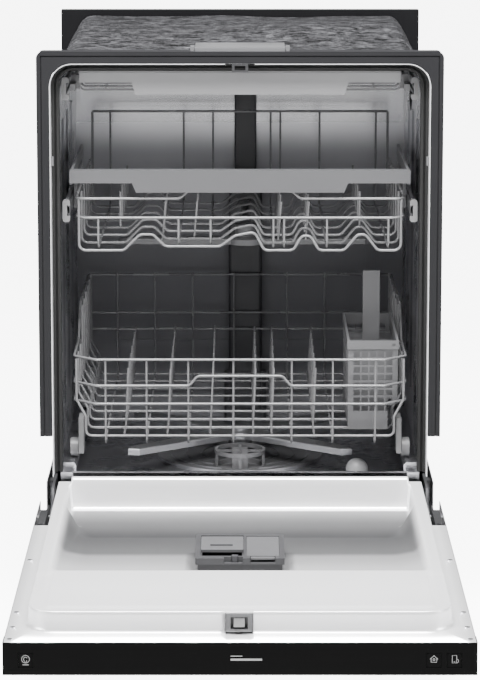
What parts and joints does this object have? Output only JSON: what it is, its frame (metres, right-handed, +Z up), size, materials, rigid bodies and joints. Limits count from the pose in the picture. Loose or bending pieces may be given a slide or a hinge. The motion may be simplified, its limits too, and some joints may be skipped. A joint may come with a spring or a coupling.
{
  "type": "built-in dishwasher",
  "caption": "Built-in dishwasher with an open drop-down door, stainless tub, sliding wire racks, cutlery basket, spray arms, detergent dispenser and hidden touch strip.",
  "frame": {"origin": "middle of the footprint of the machine with its door open, on the floor under the levelling feet", "axes": "+X to the right seen from the front, +Y from the door towards the back of the cabinet, +Z up"},
  "size_m": [0.603, 1.28, 0.862],
  "materials": {
    "stainless": "bright drawn stainless sheet",
    "tub_steel": "reflective stainless tub sheet",
    "trim": "dark grey satin coating",
    "steel": "zinc plated steel",
    "coated_wire": "light grey nylon coated wire",
    "grey_plastic": "mid grey moulded plastic",
    "light_plastic": "light grey moulded plastic",
    "dark_plastic": "dark grey moulded plastic",
    "gloss_black": "gloss black",
    "rubber": "black rubber",
    "felt": "heather grey felt",
    "bitumen": "damping mat",
    "board": "circuit board",
    "zinc": "bright plated screw"
  },
  "bodies": {
    "cabinet": {"tub_wrapper": "tub_steel", "tub_rear_wall": "tub_steel", "tub_floor": "tub_steel", "tub_front_flange": "stainless", "tub_gasket": "rubber", "sound_blanket": "felt", "front_trim": "trim", "frame_clips": "grey_plastic", "rear_frame": "trim", "top_bracket": "steel", "base_frame": "dark_plastic", "hinge_brackets": "steel", "toe_kick": "trim", "sump": "dark_plastic", "circulation_pump": "dark_plastic", "drain_pump": "light_plastic", "inlet_valve": "light_plastic", "junction_box": "steel", "filter_screen": "steel", "rear_conduit": "dark_plastic", "ceiling_spray": "grey_plastic", "door_strike": "zinc", "rack_guides": "steel", "rail_end_caps": "light_plastic", "door_springs": "steel", "internal_hoses": "rubber"},
    "door": {"door_outer_panel": "stainless", "door_inner_panel": "stainless", "control_panel": "gloss_black", "control_board": "board", "door_sound_pad": "bitumen", "dispenser_housing": "light_plastic", "latch_housing": "light_plastic", "door_hinge_arms": "steel", "door_screws": "zinc"},
    "upper_rack": {"upper_rack_frame": "coated_wire", "upper_rack_handle": "grey_plastic", "upper_feed_tube": "grey_plastic"},
    "upper_rails": {"upper_rack_rails": "steel"},
    "third_rack": {"third_rack_frame": "coated_wire", "third_rack_handle": "grey_plastic"},
    "lower_rack": {"lower_rack_frame": "coated_wire", "wheel_carriers": "light_plastic"},
    "detergent_lid": {"detergent_lid": "light_plastic"},
    "rinse_lid": {"rinse_lid": "light_plastic"},
    "dispenser_button": {"dispenser_button": "dark_plastic"},
    "latch_catch": {"latch_catch": "light_plastic"},
    "power_button": {"power_button": "gloss_black"},
    "start_button": {"start_button": "gloss_black"},
    "cycle_button": {"cycle_button": "gloss_black"},
    "front_left_leg": {"front_left_leg": "steel"},
    "front_right_leg": {"front_right_leg": "steel"},
    "rear_legs": {"rear_legs": "steel"},
    "filter_cup": {"filter_cup": "grey_plastic"},
    "float_dome": {"float_dome": "light_plastic"},
    "lower_spray_arm": {"lower_spray_arm": "steel"},
    "upper_spray_arm": {"upper_spray_arm": "grey_plastic"},
    "front_wheels": {"front_wheels": "light_plastic"},
    "rear_wheels": {"rear_wheels": "light_plastic"},
    "silverware_basket": {"silverware_basket": "grey_plastic"}
  },
  "joints": [
    {"name": "door_hinge", "type": "hinge", "parent": "cabinet", "child": "door", "pos_m": [0, 0.058, 0.15], "axis": [1, 0, 0], "range_deg": [-90, 0]},
    {"name": "detergent_lid_slide", "type": "slide", "parent": "door", "child": "detergent_lid", "axis": [0, -1, 0], "range_m": [0, 0.032]},
    {"name": "rinse_lid_hinge", "type": "hinge", "parent": "door", "child": "rinse_lid", "pos_m": [0, -0.2152, 0.192], "axis": [1, 0, 0], "range_deg": [-85, 0]},
    {"name": "dispenser_button_push", "type": "slide", "parent": "door", "child": "dispenser_button", "axis": [0, 0, -1], "range_m": [0, 0.0015], "stiffness_N_per_m": 600},
    {"name": "latch_catch_slide", "type": "slide", "parent": "door", "child": "latch_catch", "axis": [0, 1, 0], "range_m": [0, 0.004], "stiffness_N_per_m": 800},
    {"name": "power_button_push", "type": "slide", "parent": "door", "child": "power_button", "axis": [0, 1, 0], "range_m": [0, 0.0012], "stiffness_N_per_m": 400},
    {"name": "start_button_push", "type": "slide", "parent": "door", "child": "start_button", "axis": [0, 1, 0], "range_m": [0, 0.0012], "stiffness_N_per_m": 400},
    {"name": "cycle_button_push", "type": "slide", "parent": "door", "child": "cycle_button", "axis": [0, 1, 0], "range_m": [0, 0.0012], "stiffness_N_per_m": 400},
    {"name": "front_left_leg_screw", "type": "slide", "parent": "cabinet", "child": "front_left_leg", "axis": [0, 0, -1], "range_m": [0, 0.03]},
    {"name": "front_right_leg_screw", "type": "slide", "parent": "cabinet", "child": "front_right_leg", "axis": [0, 0, -1], "range_m": [0, 0.03]},
    {"name": "rear_legs_screw", "type": "slide", "parent": "cabinet", "child": "rear_legs", "axis": [0, 0, -1], "range_m": [0, 0.03]},
    {"name": "filter_cup_turn", "type": "hinge", "parent": "cabinet", "child": "filter_cup", "pos_m": [0, 0.284, 0.175], "axis": [0, 0, 1], "range_deg": [0, 60]},
    {"name": "float_lift", "type": "slide", "parent": "cabinet", "child": "float_dome", "axis": [0, 0, 1], "range_m": [0, 0.01]},
    {"name": "lower_arm_spin", "type": "hinge", "parent": "cabinet", "child": "lower_spray_arm", "pos_m": [0, 0.36, 0.206], "axis": [0, 0, 1], "continuous": true},
    {"name": "upper_rails_slide", "type": "slide", "parent": "cabinet", "child": "upper_rails", "axis": [0, -1, 0], "range_m": [0, 0.23]},
    {"name": "upper_rack_slide", "type": "slide", "parent": "upper_rails", "child": "upper_rack", "axis": [0, -1, 0], "range_m": [0, 0.23]},
    {"name": "upper_arm_spin", "type": "hinge", "parent": "upper_rack", "child": "upper_spray_arm", "pos_m": [0.009, 0.36, 0.517], "axis": [0, 0, 1], "continuous": true},
    {"name": "third_rack_slide", "type": "slide", "parent": "cabinet", "child": "third_rack", "axis": [0, -1, 0], "range_m": [0, 0.42]},
    {"name": "lower_rack_slide", "type": "slide", "parent": "cabinet", "child": "lower_rack", "axis": [0, -1, 0], "range_m": [0, 0.5]},
    {"name": "front_wheels_roll", "type": "hinge", "parent": "lower_rack", "child": "front_wheels", "pos_m": [0, 0.174, 0.2318], "axis": [1, 0, 0], "range_deg": [0, 2000]},
    {"name": "rear_wheels_roll", "type": "hinge", "parent": "lower_rack", "child": "rear_wheels", "pos_m": [0, 0.512, 0.2318], "axis": [1, 0, 0], "range_deg": [0, 2000]},
    {"name": "basket_lift", "type": "slide", "parent": "lower_rack", "child": "silverware_basket", "axis": [0, 0, 1], "range_m": [0, 0.012]}
  ],
  "couplings": [
    {"joint": "upper_rack_slide", "follows": "upper_rails_slide", "ratio": 1},
    {"joint": "front_wheels_roll", "follows": "lower_rack_slide", "rad_per_m": 68.966},
    {"joint": "rear_wheels_roll", "follows": "lower_rack_slide", "rad_per_m": 68.966}
  ]
}
